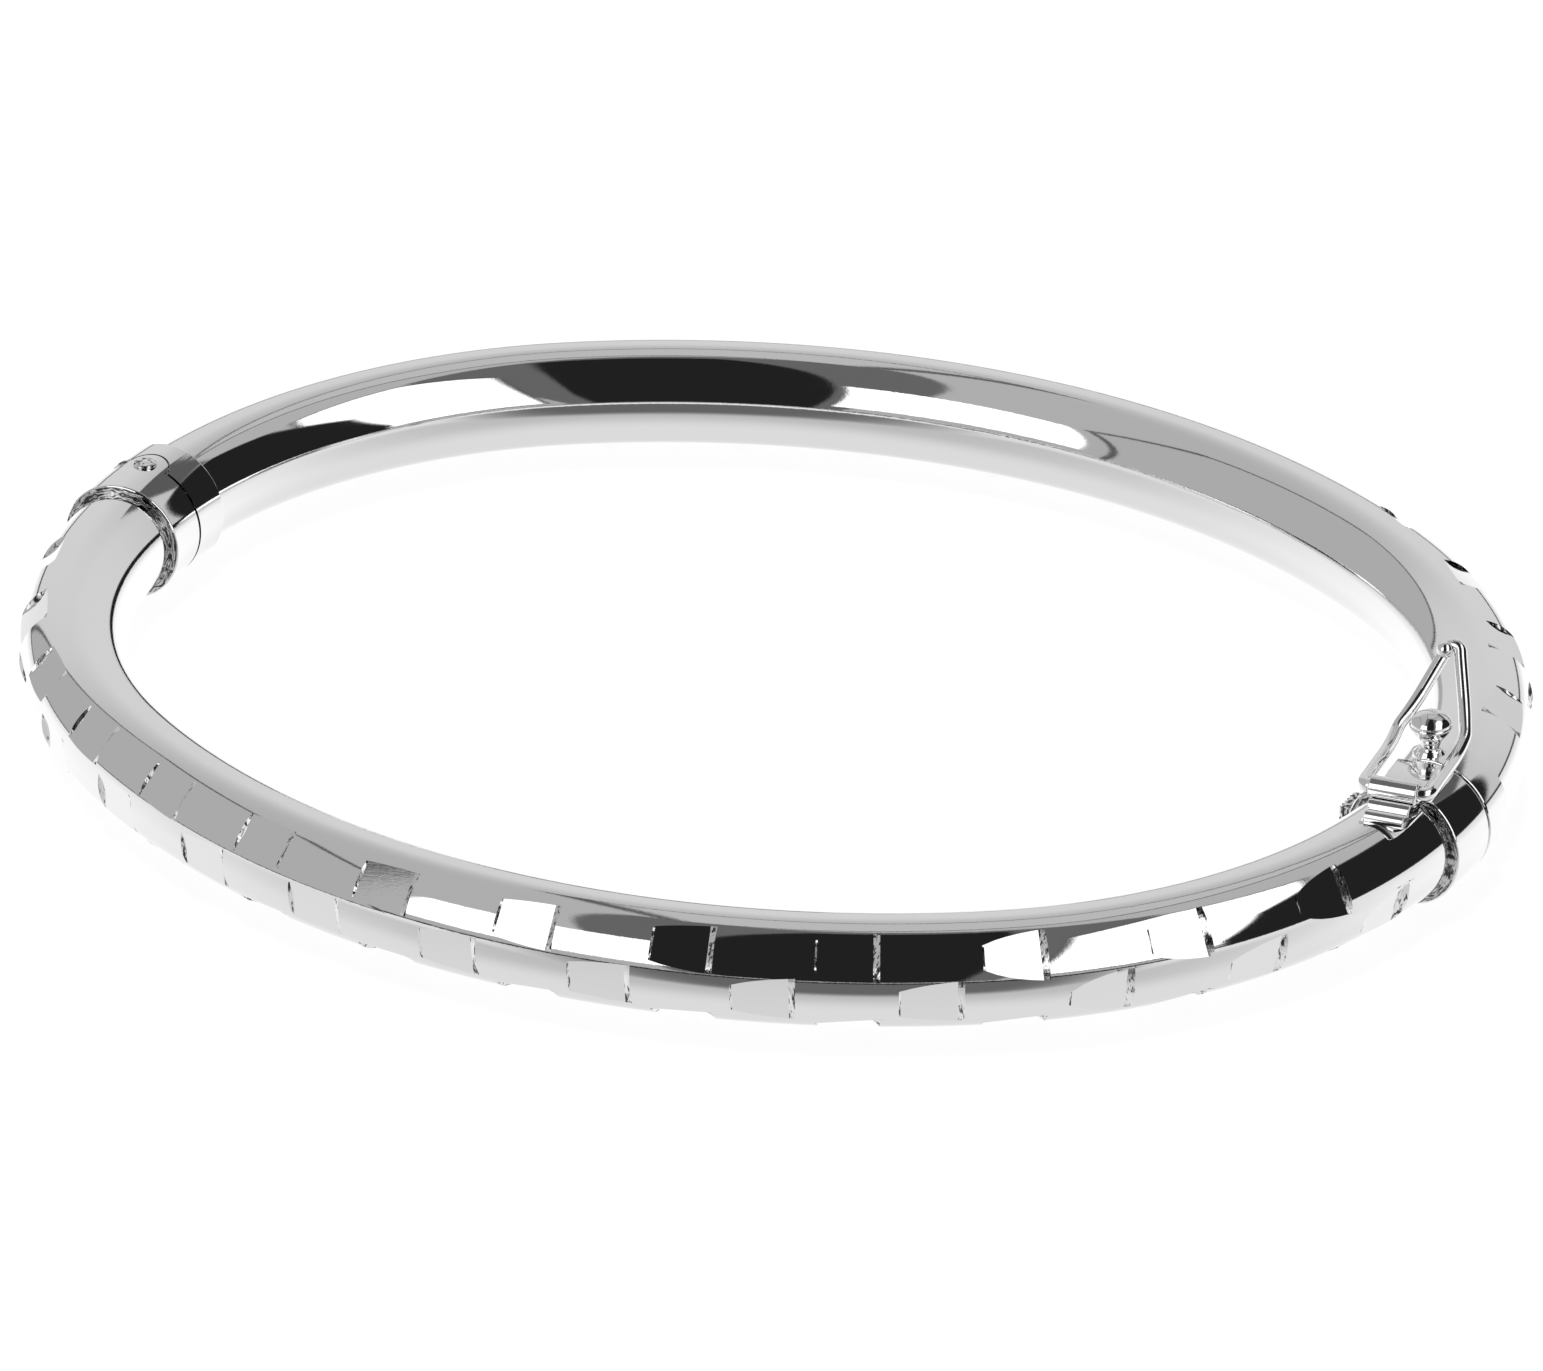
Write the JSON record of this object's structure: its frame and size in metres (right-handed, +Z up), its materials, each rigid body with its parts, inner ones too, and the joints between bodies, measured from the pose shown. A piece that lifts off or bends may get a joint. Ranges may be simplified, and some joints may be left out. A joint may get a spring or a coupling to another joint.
{
  "type": "bangle bracelet",
  "caption": "Hinged oval tube bangle with bright-cut facets on its outer face, a pin hinge, a box clasp with a thumb-press tongue, and a flip-over safety loop.",
  "frame": {"origin": "middle of the oval, on the surface that the bangle lies on", "axes": "+Z up out of the oval's plane; +X along its long axis from the hinge to the clasp; +Y towards the half that carries the tongue"},
  "size_m": [0.0718, 0.0604, 0.0098],
  "materials": {
    "bright_cut_tube": "mirror polish with flat bright-cut facets",
    "polished_collar": "mirror polish, solder texture on the end faces",
    "joint_metal": "machined, part polished",
    "turned_metal": "turned and polished",
    "catch_metal": "polished wire and folded strip",
    "spring_metal": "fine brushed spring strip"
  },
  "bodies": {
    "rear_half": {"rear_tube": "bright_cut_tube", "rear_hinge_collar": "polished_collar", "rear_hinge_leaf": "joint_metal", "rear_clasp_collar": "polished_collar", "rear_clasp_plug": "joint_metal", "tongue_base_leaf": "spring_metal", "safety_knob": "turned_metal", "safety_knob_seat": "turned_metal"},
    "front_half": {"front_tube": "bright_cut_tube", "front_hinge_collar": "polished_collar", "front_hinge_ears": "joint_metal", "hinge_pin": "turned_metal", "front_clasp_collar": "polished_collar", "front_clasp_plug": "joint_metal", "clasp_box": "joint_metal", "safety_saddle": "catch_metal", "safety_knuckle": "catch_metal"},
    "safety_loop": {"safety_loop": "catch_metal", "safety_tip_bead": "catch_metal"},
    "tongue_spring": {"tongue_spring_leaf": "spring_metal", "thumb_pad": "spring_metal"}
  },
  "joints": [
    {"name": "bangle_hinge", "type": "hinge", "parent": "rear_half", "child": "front_half", "pos_m": [-0.033, 0, 0.0029], "axis": [0, 0, -1], "range_deg": [0, 30]},
    {"name": "safety_loop_hinge", "type": "hinge", "parent": "front_half", "child": "safety_loop", "pos_m": [0.033, -0.0041, 0.00628], "axis": [0.9945, 0.1045, 0], "range_deg": [0, 162]},
    {"name": "thumb_press", "type": "hinge", "parent": "rear_half", "child": "tongue_spring", "pos_m": [0.033, -0.0039, 0.0029], "axis": [0, 0, -1], "range_deg": [0, 6], "stiffness_Nm_per_rad": 0.01}
  ],
  "couplings": [
    {"joint": "safety_loop_hinge", "follows": "bangle_hinge", "ratio": 5.4}
  ]
}
